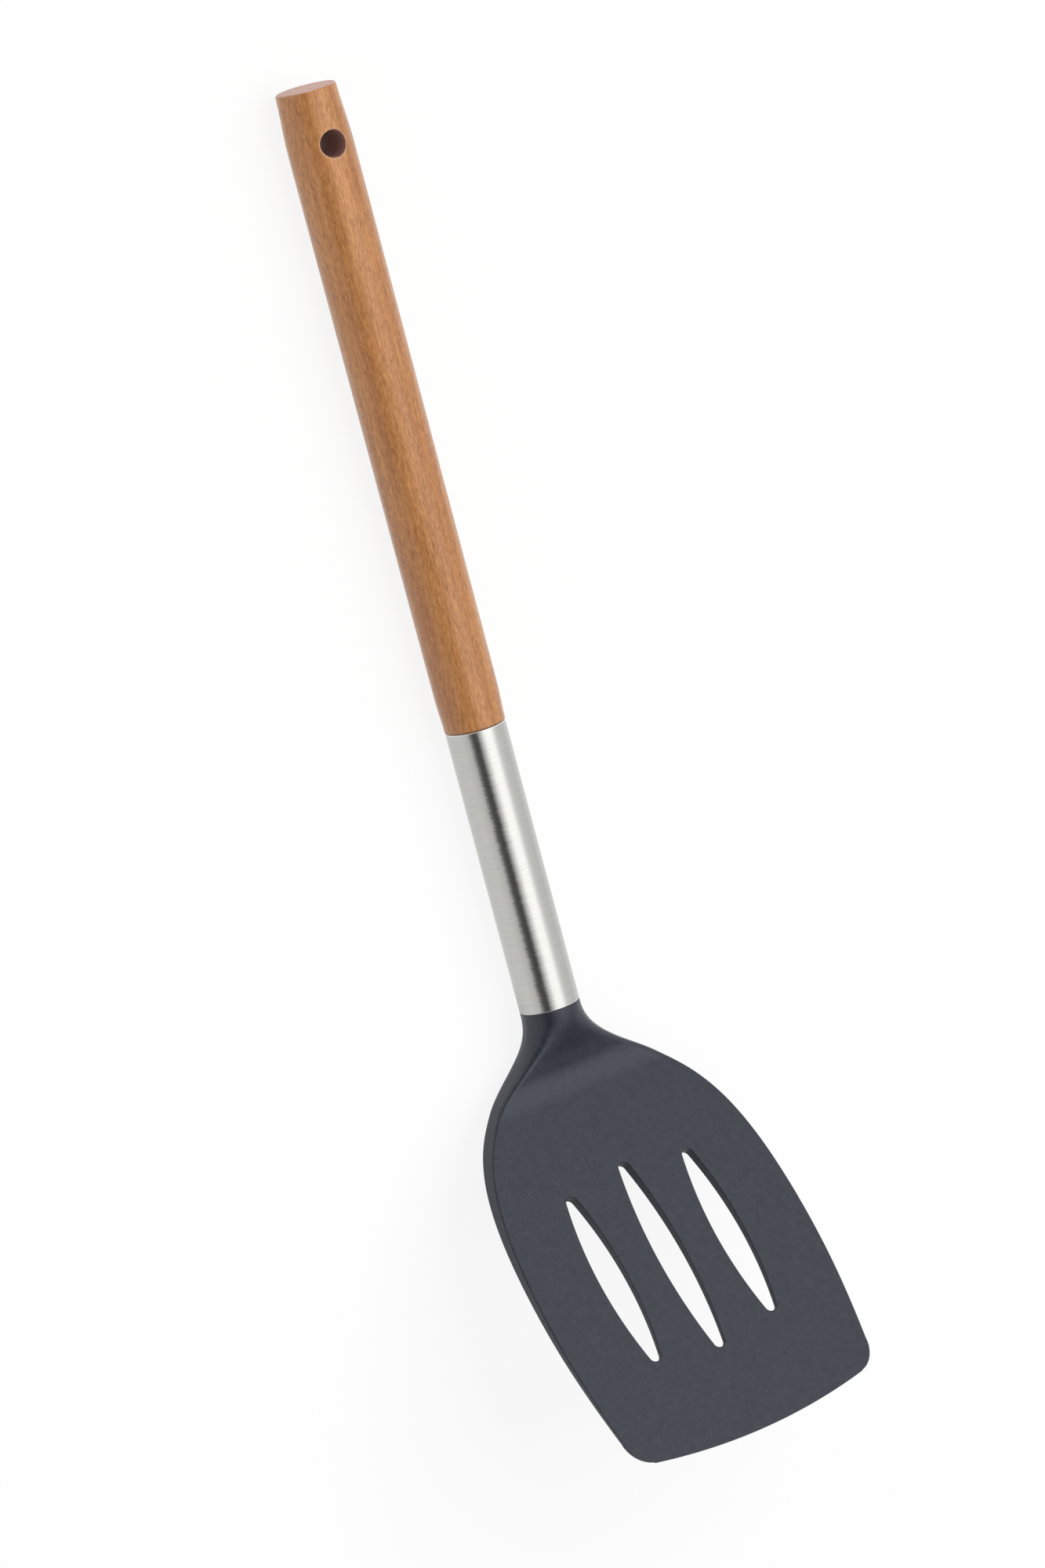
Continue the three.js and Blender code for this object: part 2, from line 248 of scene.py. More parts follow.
def handle_profile():
    """Rows of (x, radius) from the middle of the end face to the middle of the tenon's end.

    Also gives the number of the row where the block round the hole starts.
    """
    level, upright = quarter_round()
    rim_x = handle_end + end_round
    rim = np.column_stack([handle_end + end_round * level, handle_radius(rim_x) - end_round * upright])
    before = np.linspace(rim_x, block_x[0], rows_before_hole)[1:-1]
    after = np.linspace(block_x[-1], wood_joint - mouth_round, rows_after_hole)[1:]
    shaft_x = np.concatenate([before, block_x, after])
    shaft = np.column_stack([shaft_x, handle_radius(shaft_x)])
    mouth = np.column_stack([
        wood_joint - mouth_round * level[::-1], shaft[-1, 1] - mouth_round * upright[::-1],
    ])[1:]
    tenon = [
        (wood_joint, plug_radius), (tenon_end - plug_lead_in, plug_radius),
        (tenon_end, plug_radius - plug_lead_in), (tenon_end, 0),
    ]
    centre = [(handle_end, 0), (handle_end, end_radius / 2)]
    first_block_row = len(centre) + len(rim) + len(before)
    return np.concatenate([centre, rim, shaft, mouth, tenon]), first_block_row


profile, first_block_row = handle_profile()
print(f"{len(profile)} rows along the handle, hole block from row {first_block_row}")

# %% Walk round the hole's block
hole_columns = 32
turn_columns = 120
turns = (np.arange(turn_columns + 1) - hole_columns / 2) * 2 * np.pi / turn_columns


def round_block(rows, columns, centre):
    """Walks round a rectangle from its far corner: rows down one side, columns back, and round again.

    Gives the rectangle's points as (row value, column value), and the angle of each about its centre,
    shared evenly so that each side has a quarter of the turn.
    """
    walk = np.concatenate([
        np.column_stack([rows[::-1], np.full(len(rows), columns[-1])])[:-1],
        np.column_stack([np.full(len(columns), rows[0]), columns[::-1]])[:-1],
        np.column_stack([rows, np.full(len(rows), columns[0])])[:-1],
        np.column_stack([np.full(len(columns), rows[-1]), columns]),
    ])
    sides = [len(rows) - 1, len(columns) - 1, len(rows) - 1, len(columns) - 1]
    quarters = np.concatenate([np.arange(n) / n + i for i, n in enumerate(sides)] + [[4.0]])
    return walk - [centre, 0], np.pi / 4 + quarters * np.pi / 2


block_walk, walk_angle = round_block(block_x, turns[:hole_columns + 1], hole_x)
print(f"{len(block_walk)} points round the hole")

# %% Handle with its hole
hole_radius = 3.5 * MM
hole_edge = 0.45 * MM
hole_turn = np.radians(4.5)
patch_rows = 10
patch_crowding = 1.5


def hole_patch():
    """(x, turn) of the patch from the hole's rim out to its block, with its rows crowded at the rim."""
    rim_reach = hole_radius + hole_edge
    rim_x = hole_x + rim_reach * np.cos(walk_angle)
    rim_turn = np.arcsin(rim_reach * np.sin(walk_angle) / handle_radius(rim_x))
    share = np.linspace(0, 1, patch_rows)[:, None] ** patch_crowding
    return blend(rim_x, hole_x + block_walk[:, 0], share), blend(rim_turn, block_walk[:, 1], share)


def hole_bore():
    """(x, radius, turn) down the hole: a circle that comes in over a quarter round, and its mirror image.

    Its height on the shaft follows from the radius there and the distance from the hole's middle.
    """
    level, upright = quarter_round()
    reach = hole_radius + hole_edge * upright[:, None]
    x = hole_x + reach * np.cos(walk_angle)
    side = reach * np.sin(walk_angle)
    height = np.sqrt(handle_radius(x) ** 2 - side ** 2) - hole_edge * level[:, None]
    x = np.concatenate([x, x[::-1]])
    side = np.concatenate([side, side[::-1]])
    height = np.concatenate([height, -height[::-1]])
    return x, np.hypot(side, height), np.arctan2(side, height)


def wooden_handle():
    """The lathe's grid without its two blocks, a patch for each block, and the bore that joins them."""
    kept = np.ones((len(profile) - 1, turn_columns), dtype=bool)
    block_rows = slice(first_block_row, first_block_row + hole_rows)
    for start in (0, turn_columns // 2):
        kept[block_rows, start:start + hole_columns] = False
    patch_x, patch_turn = hole_patch()
    bore_x, bore_radius, bore_turn = hole_bore()
    return sewn("turned_handle", [
        (turned(profile[:, :1], profile[:, 1:], turns - hole_turn), kept),
        (turned(patch_x, handle_radius(patch_x), patch_turn - hole_turn), None),
        (turned(patch_x, handle_radius(patch_x), np.pi - patch_turn - hole_turn), None),
        (turned(bore_x, bore_radius, bore_turn - hole_turn), None),
    ])


handle = wooden_handle()

# %% [markdown]
# ## The steel tube
# A length of thin tube with its cut edges broken. A cylinder with a wall and a bevel would do. Its
# profile is a closed loop, though, so carrying the loop round the axis gives the outside, the bore and
# both rims at once. The small rounds matter: they catch the thin bright line at each end.

# %% Tube as a closed loop round the axis
tube_wall = 0.8 * MM
tube_edge = 0.3 * MM
tube_columns = 160
tube_rows = 40


def steel_tube():
    """Outer edge round, outside, outer edge round, then back through the bore."""
    level, upright = quarter_round()
    near = np.column_stack([wood_joint + tube_edge * level, tube_radius - tube_edge * upright])
    outside_x = np.linspace(wood_joint + tube_edge, head_joint - tube_edge, tube_rows)[1:-1]
    outside = np.column_stack([outside_x, np.full_like(outside_x, tube_radius)])
    far = np.column_stack([head_joint - tube_edge * level, tube_radius - tube_edge * upright])[::-1]
    bore_radius = tube_radius - tube_wall
    bore = [(head_joint, bore_radius), (wood_joint, bore_radius)]
    loop = np.concatenate([near, outside, far, bore, near[:1]])
    angles = np.linspace(0, 2 * np.pi, tube_columns + 1)
    return sewn("brushed_tube", [(turned(loop[:, :1], loop[:, 1:], angles), None)])


tube = steel_tube()

# %% [markdown]
# ## The nylon head
# The head is one moulding: a round tang in the tube, a neck with a flat on top, a bend, and a blade
# that thins towards its front edge. A plate could be bent and joined to a cylinder, but the neck flows
# from one into the other, so the head is drawn as rings. Each ring has a flat top, a soft crease, a
# rounded edge, a wall with some draft, a small round below and a flat underside. Along the neck the
# same ring starts as a circle and flattens into the plate.

# %% Points of the blade
blade_length = 107.9 * MM
blade_bend = np.radians(28.6)
food_face_offset = 2 * MM
front_nose = 0.3 * MM
neck_start = -neck_length


def along_blade(s):
    """X of a point of the food face, s along it, with the bend at 0."""
    return -food_face_offset * np.sin(blade_bend) + s * np.cos(blade_bend)


def blade_point(s, y, depth):
    """A point s along the food face, y across it and depth below it, with the bend at the origin."""
    out = food_face_offset - depth
    x = s * np.cos(blade_bend) - out * np.sin(blade_bend)
    z = s * np.sin(blade_bend) + out * np.cos(blade_bend)
    return np.stack(np.broadcast_arrays(x, y, z), axis=-1)


front_x = along_blade(blade_length - front_nose)
print(f"blade {blade_length:.4f} m long, front edge at x = {bend.x + front_x:.4f} m")

# %% Side view of the head: two straight lines joined by an arc, above and below
neck_flat_depth = 1.05 * MM
neck_flat_slope = np.radians(-10.5)
neck_belly_slope = np.radians(8)
blade_front_thickness = 0.7 * MM
blade_taper = np.radians(2.05)
bend_inner_radius = 13 * MM
heel_radius = 30 * MM


def bent_line(x, first, second, radius):
    """Height over x of two lines, each (x, z, slope), joined by an arc of the radius."""
    rise = np.tan([first[2], second[2]])
    base = np.array([first[1], second[1]]) - rise * np.array([first[0], second[0]])
    meet = (base[0] - base[1]) / (rise[1] - rise[0])
    reach = radius * np.tan(abs(second[2] - first[2]) / 2)
    arc_start = meet - reach * np.cos(first[2])
    arc_end = meet + reach * np.cos(second[2])
    centre_x = arc_start - radius * np.sin(first[2])
    centre_z = base[0] + rise[0] * arc_start + radius * np.cos(first[2])
    arc = centre_z - np.sqrt(np.maximum(radius ** 2 - (x - centre_x) ** 2, 0))
    arc_and_second = np.where(x > arc_end, base[1] + rise[1] * x, arc)
    return np.where(x < arc_start, base[0] + rise[0] * x, arc_and_second)


def food_side(x):
    """The neck's flat, falling a little, and the food face, rising, with the inner bend between."""
    flat = (neck_start, tube_radius - neck_flat_depth, neck_flat_slope)
    foot = (along_blade(0), food_face_offset * np.cos(blade_bend), blade_bend)
    return bent_line(x, flat, foot, bend_inner_radius)


def underside(x):
    """The neck's belly and the blade's underside, which meets the front edge a thickness below."""
    belly = (neck_start, -tube_radius, neck_belly_slope)
    front = blade_point(blade_length, 0, blade_front_thickness)
    return bent_line(x, belly, (front[0], front[2], blade_bend + blade_taper), heel_radius)


print(f"neck {food_side(neck_start) - underside(neck_start):.4f} m deep under the tube")

# %% Outline of the head seen from above
blade_width = 83.2 * MM
blade_front_width = 77.4 * MM
blade_widest_at = 64 * MM
blade_corner_radius = 5.5 * MM
collar_length = 0.8 * MM
shoulder_at = 5 * MM
shoulder_half_width = 25 * MM
shoulder_slope = np.radians(46)
pull_from_neck = 9.8 * MM
pull_to_shoulder = 8 * MM
pull_from_shoulder = 13 * MM
pull_to_widest = 34 * MM
curve_points = 200
corner_points = 100


def cubic(first, second, third, fourth):
    """Points of a cubic curve: its four points weighted by the four terms of (1 - t) + t, cubed."""
    t = np.linspace(0, 1, curve_points)[:, None]
    first_half = (1 - t) ** 3 * first + 3 * t * (1 - t) ** 2 * second
    return first_half + 3 * t * t * (1 - t) * third + t ** 3 * fourth


def head_outline():
    """(x, half width) from the collar to the front: a flare, a shoulder, a side and a corner arc."""
    neck = np.array([neck_start + collar_length, tube_radius])
    shoulder = np.array([along_blade(shoulder_at), shoulder_half_width])
    widest = np.array([along_blade(blade_widest_at), blade_width / 2])
    corner_x = front_x - blade_corner_radius
    corner = np.array([corner_x, blade_front_width / 2])
    ahead = np.array([1, 0])
    lean = np.array([np.cos(shoulder_slope), np.sin(shoulder_slope)])
    side_lean = 2 * np.arctan2(widest[1] - corner[1], corner[0] - widest[0])
    side_back = np.array([-np.cos(side_lean), np.sin(side_lean)])
    side_reach = (corner[0] - widest[0]) / 3
    arc = np.linspace(0, np.pi / 2, corner_points)
    corner_arc = np.column_stack([
        corner_x + blade_corner_radius * np.sin(arc),
        blade_front_width / 2 - blade_corner_radius * (1 - np.cos(arc)),
    ])
    return np.concatenate([
        cubic(neck, neck + pull_from_neck * ahead, shoulder - pull_to_shoulder * lean, shoulder),
        cubic(shoulder, shoulder + pull_from_shoulder * lean, widest - pull_to_widest * ahead, widest),
        cubic(widest, widest + side_reach * ahead, corner + side_reach * side_back, corner),
        corner_arc,
    ])


outline = head_outline()
print(f"head is {2 * outline[:, 1].max():.4f} m across")

# %% Where the rings stand
slot_rows = 44
neck_rings, shoulder_rings, side_rings, corner_rings = 46, 22, 10, 15
slots_start = 24 * MM
slots_end = 90 * MM
block_from = along_blade(slots_start)
block_to = along_blade(slots_end)
corner_from = front_x - blade_corner_radius


def ring_places():
    """X of each ring, close together on the neck and at the corners, and the first ring of the slots."""
    neck_from = neck_start + collar_length
    neck = neck_from + (along_blade(shoulder_at) - neck_from) * np.linspace(0, 1, neck_rings)
    shoulder = np.linspace(neck[-1], block_from, shoulder_rings)[1:]
    block = np.linspace(block_from, block_to, slot_rows + 1)[1:]
    side = np.linspace(block_to, corner_from, side_rings)[1:]
    corner = corner_from + blade_corner_radius * np.sin(np.linspace(0, np.pi / 2, corner_rings))[1:]
    first_block_ring = len(neck) + len(shoulder) - 1
    return np.concatenate([neck, shoulder, block, side, corner]), first_block_ring


ring_x, first_block_ring = ring_places()
print(f"{len(ring_x)} rings along the head")

# %% Columns across a ring
slot_columns = 14
side_columns = 8
slot_pitch = 18.45 * MM
block_half_width = 1.5 * slot_pitch
face_size = 2 * side_columns + 3 * slot_columns + 1


def face_columns(reach):
    """Y of the columns across a face: even in the block of the slots, and even from it to each edge."""
    inner = np.linspace(-block_half_width, block_half_width, 3 * slot_columns + 1)
    outward = np.linspace(0, 1, side_columns + 1)[1:]
    right = block_half_width + (reach[:, None] - block_half_width) * outward
    return np.hstack([-right[:, ::-1], np.broadcast_to(inner, (len(reach), inner.size)), right])


def scaled_columns(reach):
    """Columns across every ring. Beyond the block of slots they keep their shares of the width."""
    last_block_ring = first_block_ring + slot_rows
    nearest = np.clip(np.arange(len(reach)), first_block_ring, last_block_ring)
    return face_columns(reach[nearest]) * (reach / reach[nearest])[:, None]


print(f"{face_size} columns across each face")

# %% Edge of a ring
blade_edge_round = 0.8 * MM
blade_side_draft = np.radians(9)
blade_flat_from = 15 * MM
edge_round_share = 1 / 3
heel_round_share = 0.2
crease_share = 0.35
crease_most = 1.5 * MM
crease_angle = np.arcsin((tube_radius - neck_flat_depth) / tube_radius)
crease_points, round_points, wall_points, heel_points = 5, 9, 3, 6


def edge_profile(x):
    """(y, z) of one edge of each ring, from the end of its flat top to the start of its underside.

    A crease joins the top to an arc, the arc runs down to a wall that leans out by the draft, and a
    small arc turns under it. On the neck the arcs are as large as the tube, so the ring is nearly round.
    """
    x = x[:, None]
    top, under = food_side(x), underside(x)
    plate = smoothstep(x, neck_start, along_blade(blade_flat_from))
    half_width = np.interp(x, outline[:, 0], outline[:, 1])
    upper = np.minimum(
        blend(tube_radius, blade_edge_round, np.sqrt(plate)),
        (top - under) * edge_round_share + tube_radius * (1 - plate),
    )
    crease_y = half_width - upper * (1 - np.cos(crease_angle))
    wall_top = top - upper * np.sin(crease_angle)
    lower = (wall_top - under) * blend(1, heel_round_share, plate)
    flare = plate * (wall_top - under - lower) * np.tan(blade_side_draft)

    crease = np.minimum(crease_share * upper, crease_most)
    arc_start = crease_angle - crease / upper
    t = np.linspace(0, 1, crease_points)
    after_y = half_width - upper * (1 - np.cos(arc_start))
    after_z = wall_top + upper * np.sin(arc_start)
    crease_part = (
        (crease_y - crease) * (1 - t) ** 2 + crease_y * 2 * t * (1 - t) + after_y * t * t,
        top * (1 - t * t) + after_z * t * t,
    )
    angle = arc_start * np.linspace(1, 0, round_points)[1:]
    round_part = half_width - upper * (1 - np.cos(angle)), wall_top + upper * np.sin(angle)
    fall = np.linspace(0, 1, wall_points)[1:]
    wall_part = half_width + flare * fall, blend(wall_top, under + lower, fall)
    turn = np.linspace(0, np.pi / 2, heel_points)[1:]
    heel_part = half_width + flare - lower * (1 - np.cos(turn)), under + lower * (1 - np.sin(turn))
    parts = [crease_part, round_part, wall_part, heel_part]
    return np.hstack([part[0] for part in parts]), np.hstack([part[1] for part in parts])


edge_size = edge_profile(ring_x)[0].shape[1]
print(f"{edge_size} points down each edge")

# %% Rings of the neck and blade
neck_crown = 0.5 * MM
front_edge_radius = 175 * MM
front_bow_start = 45 * MM


def head_rings(x):
    """Rings of (x, y, z): the top from left to right, an edge, the underside back, the other edge.

    On the neck the top is crowned a little: it rises towards its middle by 1 - (y / edge) squared.
    Towards the front the rings bow back at their sides by the sagitta of the front edge's arc.
    """
    edge_y, edge_z = edge_profile(x)
    top_y = scaled_columns(edge_y[:, 0])
    under_y = scaled_columns(edge_y[:, -1])[:, ::-1]
    flat = np.ones(top_y.shape[1])
    crown = neck_crown * (1 - smoothstep(x, neck_start, along_blade(shoulder_at)))[:, None]
    top_z = edge_z[:, :1] + crown * (1 - (top_y / edge_y[:, :1]) ** 2)
    y = np.hstack([top_y, edge_y[:, 1:-1], under_y, -edge_y[:, -2:0:-1], top_y[:, :1]])
    z = np.hstack([
        top_z, edge_z[:, 1:-1], edge_z[:, -1:] * flat, edge_z[:, -2:0:-1], edge_z[:, :1],
    ])
    bow = smoothstep(x, along_blade(front_bow_start), corner_from)[:, None]
    sag = front_edge_radius - np.sqrt(front_edge_radius ** 2 - y ** 2)
    moved_x = x[:, None] - bow * sag * np.cos(blade_bend)
    top, under = food_side(x)[:, None], underside(x)[:, None]
    share = (top - z) / (top - under)
    return np.stack([moved_x, y, blend(food_side(moved_x), underside(moved_x), share)], axis=-1)


blade_rings = head_rings(ring_x)
under_start = face_size + edge_size - 2
top_face = blade_rings[:, :face_size]
under_face = blade_rings[:, under_start:under_start + face_size][:, ::-1]
print(f"{blade_rings.shape[1]} points in a ring")

# %% [markdown]
# ## Tang, collar and front edge
# The tang and the collar are round, so their rings are circles with the same number of points. A sharp
# step from round to flat would show as a ledge under the tube, which the moulding doesn't have. So a
# round neck that widens with the outline is mixed with the flattened rings, over the first millimetres.
# At the front the top and the underside are joined by a thin rounded nose.

# %% Round rings for the stem
stem_wall_angle = np.radians(3)
stem_belly_angle = np.radians(12)


def ring_angles():
    """Angle of each ring point on the round stem, so that crease, wall and belly stay in line."""
    across = top_face[first_block_ring, :, 1]
    share = across / across[-1]
    top = np.pi / 2 - share * (np.pi / 2 - crease_angle)
    upper = np.linspace(crease_angle, stem_wall_angle, crease_points + round_points - 1)[1:]
    walls = np.linspace(stem_wall_angle, -stem_wall_angle, wall_points)[1:]
    heel = np.linspace(-stem_wall_angle, stem_belly_angle - np.pi / 2, heel_points)[1:-1]
    edge = np.concatenate([upper, walls, heel])
    under = -np.pi / 2 + share[::-1] * stem_belly_angle
    return np.concatenate([top, edge, under, -np.pi - edge[::-1], top[:1] - 2 * np.pi])


def stem_rings(places):
    """Circles for places of (x, radius) along the stem."""
    x, radius = np.array(places).T[:, :, None]
    angle = ring_angles()
    return np.stack([x + 0 * angle, radius * np.cos(angle), radius * np.sin(angle)], axis=-1)


print(f"{ring_angles().size} points in a round ring")

# %% Skin of the head
tang_lead_in = 1.2 * MM
collar_edge = 0.3 * MM
collar_ease = 12 * MM


def head_skin():
    """All rings from the middle of the tang's end to the front, with the faces that the slots leave."""
    level, upright = quarter_round()
    tang_x = tang_end - bend.x
    collar = np.column_stack([neck_start + collar_edge * level, tube_radius - collar_edge * upright])
    stem = stem_rings([
        (tang_x, 0), (tang_x, plug_radius - tang_lead_in), (tang_x + tang_lead_in, plug_radius),
        (neck_start, plug_radius), *collar, (neck_start + collar_length, tube_radius),
    ])
    eased = smoothstep(ring_x, ring_x[0], ring_x[0] + collar_ease)[:, None, None]
    round_neck = stem_rings(np.column_stack([ring_x, np.full_like(ring_x, tube_radius)]))
    round_neck[:, :, 1] *= np.interp(ring_x, outline[:, 0], outline[:, 1] / tube_radius)[:, None]
    rings = np.concatenate([stem, blend(round_neck, blade_rings, eased)])
    kept = np.ones((len(rings) - 1, rings.shape[1] - 1), dtype=bool)
    block = slice(len(stem) + first_block_ring, len(stem) + first_block_ring + slot_rows)
    for start in (side_columns, under_start + side_columns):
        kept[block, start:start + 3 * slot_columns] = False
    return rings, kept


skin, skin_kept = head_skin()
print(f"skin of {skin.shape[0]} rings")

# %% Nose along the front edge


def front_nose_patches():
    """The half round along the front edge, and the small end patches between it and the side edges."""
    last = blade_rings[-1]
    top, under = top_face[-1], under_face[-1]
    edge_right = last[face_size - 1:face_size + edge_size - 1]
    edge_left = last[:2 * face_size + edge_size - 4:-1]
    angle = np.linspace(np.pi / 2, -np.pi / 2, edge_size)[:, None, None]
    forward = blade_point(1, 0, 0) - blade_point(0, 0, 0)
    nose = (top + under) / 2 + (top - under) / 2 * np.sin(angle) + forward * front_nose * np.cos(angle)
    return [nose, np.stack([nose[:, -1], edge_right]), np.stack([nose[:, 0], edge_left])]


nose_patches = front_nose_patches()
print(f"nose of {nose_patches[0].shape[1]} columns")

# %% [markdown]
# ## The slots
# Each slot is a lens: two long arcs with small round ends, cut square through the blade. Booleans and a
# bevel would do it with rough shading. Growing a lens only means growing its radii, which gives the
# softened rim for free: the lens is a little larger at the surface and comes in to its size over a
# quarter round. A patch on each face joins the rim to the rectangle of cells left out of the rings.

# %% Lens of a slot
slot_width = 8.2 * MM
slot_end_radius = 1.6 * MM
middle_slot_length = 54.8 * MM
side_slot_length = 48.3 * MM


def lens(length, growth):
    """(s, y) round a slot grown by an amount: arc, end, arc, end, closed. Growth is a column."""
    end_centre = length / 2 - slot_end_radius
    bulge = slot_width / 2 - slot_end_radius
    arc_radius = (end_centre ** 2 + (slot_width / 2) ** 2 - slot_end_radius ** 2) / (2 * bulge)
    arc_centre = arc_radius - slot_width / 2
    lean = np.arctan2(arc_centre, end_centre)
    arcs = [
        (0, -arc_centre, arc_radius, lean, np.pi - lean, slot_rows),
        (-end_centre, 0, slot_end_radius, np.pi - lean, np.pi + lean, slot_columns),
        (0, arc_centre, arc_radius, np.pi + lean, 2 * np.pi - lean, slot_rows),
        (end_centre, 0, slot_end_radius, -lean, lean, slot_columns),
    ]
    s_parts = []
    y_parts = []
    for s, y, radius, start, stop, steps in arcs:
        angle = np.linspace(start, stop, steps + 1)[:-1]
        s_parts.append(s + (radius + growth) * np.cos(angle))
        y_parts.append(y + (radius + growth) * np.sin(angle))
    s_all, y_all = np.hstack(s_parts), np.hstack(y_parts)
    return np.hstack([s_all, s_all[:, :1]]), np.hstack([y_all, y_all[:, :1]])


print(f"slots {side_slot_length:.4f} m and {middle_slot_length:.4f} m long")

# %% Slot patches and the whole head
slot_centre_at = 56.5 * MM
slot_edge = 0.35 * MM
slot_patch_rows = 6


def thickness(s):
    """Depth of the blade square to its food face."""
    return blade_front_thickness + (blade_length - s) * np.tan(blade_taper)


def slot_block_walk(face, first_column):
    """Points of a face's grid round one slot's block, from the front corner on the right."""
    rows = slice(first_block_ring, first_block_ring + slot_rows + 1)
    block = face[rows, first_column:first_column + slot_columns + 1]
    return np.concatenate([
        block[::-1, -1][:-1], block[0, ::-1][:-1], block[:, 0][:-1], block[-1],
    ])


def slot_patches(number, length):
    """The wall of one slot with its two soft rims, and the patch round it on each face."""
    y_centre = (number - 1) * slot_pitch
    level, upright = quarter_round()
    growth = slot_edge * np.concatenate([upright, upright[::-1]])[:, None]
    s, y = lens(length, growth)
    s = s + slot_centre_at
    from_top = slot_edge * level[:, None] + 0 * s[:len(level)]
    from_under = thickness(s[len(level):]) - slot_edge * level[::-1, None]
    wall = blade_point(s, y + y_centre, np.vstack([from_top, from_under]))
    first_column = side_columns + number * slot_columns
    share = np.linspace(0, 1, slot_patch_rows)[:, None, None]
    top = blend(wall[0], slot_block_walk(top_face, first_column), share)
    under = blend(wall[-1], slot_block_walk(under_face, first_column), share)
    return [wall, top, under]


def slotted_head():
    """The skin of rings, the nose and the three slots, moved from the bend to its place."""
    patches = list(nose_patches)
    for number, length in enumerate([side_slot_length, middle_slot_length, side_slot_length]):
        patches += slot_patches(number, length)
    grids = [(skin, skin_kept)] + [(patch, None) for patch in patches]
    return sewn("nylon_head", [(grid + np.array(bend), kept) for grid, kept in grids])


head = slotted_head()

# %% [markdown]
# ## Shader sums
# A finish is a little arithmetic on noise. Written node by node it fills a page, so one small class
# wraps a socket and lets Python's own signs add the Math nodes. Every other node comes from one method
# that sets the node up first and then feeds its sockets.

# %% A socket that can be added up


class Sock:
    """A shader value that takes part in Python sums: 1 - mask * 0.3 adds the Math nodes it needs."""

    def __init__(self, kit, socket):
        self.kit = kit
        self.socket = socket

    def sum(self, operation, first, second):
        return self.kit.node("ShaderNodeMath", {"operation": operation}, {0: first, 1: second})

    def __add__(self, other):
        return self.sum("ADD", self, other)

    def __radd__(self, other):
        return self.sum("ADD", other, self)

    def __sub__(self, other):
        return self.sum("SUBTRACT", self, other)

    def __rsub__(self, other):
        return self.sum("SUBTRACT", other, self)

    def __mul__(self, other):
        return self.sum("MULTIPLY", self, other)

    def __rmul__(self, other):
        return self.sum("MULTIPLY", other, self)


print("sockets add, subtract and multiply")


class Kit:
    """A node tree, and the one method that adds any node to it."""

    def __init__(self, tree):
        self.tree = tree

    def node(self, kind, settings=None, inputs=None, output=0):
        """A node of a kind. Its settings come first, then the values or links of its sockets."""
        made = self.tree.nodes.new(kind)
        for key, value in (settings or {}).items():
            if key == "stops":
                self.set_stops(made.color_ramp, value)
            else:
                setattr(made, key, value)
        for key, value in (inputs or {}).items():
            self.feed(made.inputs[key], value)
        return Sock(self, made.outputs[output]) if made.outputs else None

    def set_stops(self, ramp, stops):
        """Stops of (place, grey value) on a ramp."""
        while len(ramp.elements) < len(stops):
            ramp.elements.new(1)
        for element, (place, grey) in zip(ramp.elements, stops):
            element.position = place
            element.color = (grey, grey, grey, 1)

    def feed(self, socket, value):
        """Links a socket to a Sock, or sets its own value."""
        if isinstance(value, Sock):
            self.tree.links.new(value.socket, socket)
        else:
            socket.default_value = value

    def place(self, stretch, centre=(0, 0, 0)):
        """Object coordinates, moved to a centre and stretched: a large number makes a fine pattern."""
        where = self.node("ShaderNodeTexCoord", output=3)
        return self.vector("MULTIPLY", self.vector("SUBTRACT", where, centre), stretch)

    def vector(self, operation, first, second=(0, 0, 0), output=0):
        """Vector arithmetic. Output 1 is the number that a length or a dot product gives."""
        settings = {"operation": operation}
        return self.node("ShaderNodeVectorMath", settings, {0: first, 1: second}, output)

    def axis(self, vector, number):
        """One of a vector's three numbers: 0, 1 and 2 for X, Y and Z."""
        return self.node("ShaderNodeSeparateXYZ", {}, {0: vector}, number)

    def noise(self, where, detail=2.0, roughness=0.5, distortion=0.0):
        """Soft noise from 0 to 1 with cells of about one unit."""
        return self.node("ShaderNodeTexNoise", {}, {
            "Vector": where, "Scale": 1.0, "Detail": detail,
            "Roughness": roughness, "Distortion": distortion,
        })

    def ramp(self, value, *stops):
        """A value bent through grey stops."""
        return self.node("ShaderNodeValToRGB", {"stops": stops}, {0: value})

    def mix(self, share, first, second):
        """Two colours mixed by a share."""
        colours = {0: share, 6: first, 7: second}
        return self.node("ShaderNodeMix", {"data_type": "RGBA"}, colours, output=2)

    def bump(self, height, distance, strength=1.0):
        """A normal that follows a height, in metres where the height goes from 0 to 1."""
        return self.node("ShaderNodeBump", {}, {
            "Height": height, "Distance": distance, "Strength": strength,
        })


print("node kit ready")

# %% A finish


class Finish(Kit):
    """A material with one Principled shader. Its plain values are set on the shader's own sockets."""

    def __init__(self, name, values):
        self.material = bpy.data.materials.new(name)
        self.material.use_nodes = True
        super().__init__(self.material.node_tree)
        self.shader = self.tree.nodes["Principled BSDF"]
        self.set(values)

    def set(self, values):
        """Feeds the shader's sockets by name."""
        for key, value in values.items():
            self.feed(self.shader.inputs[key], value)


def rgb(red, green, blue):
    """A colour with full alpha, in linear light."""
    return (red, green, blue, 1.0)


print("finishes ready")

# %% [markdown]
# ## Oiled wood
# A close-grained hardwood, oiled and rubbed to a satin. A photograph of wood could be wrapped round it,
# but solid noise has no seam. The grain runs down the handle, so each pattern is noise that is stretched
# along X by its own amount: broad bands, streaks, short flecks, fine fibres and dark pores. The sawn end
# is paler and shows rings about a pith outside the handle. The drilled hole is bare inside, and its rim
# is painted pale as a highlight. A thin dark line is painted where the wood meets the steel, as the
# shade in the groove between them.

# %% Grain of the wood
wood_brown = rgb(0.310, 0.108, 0.022)
wood_gold = rgb(0.580, 0.255, 0.078)


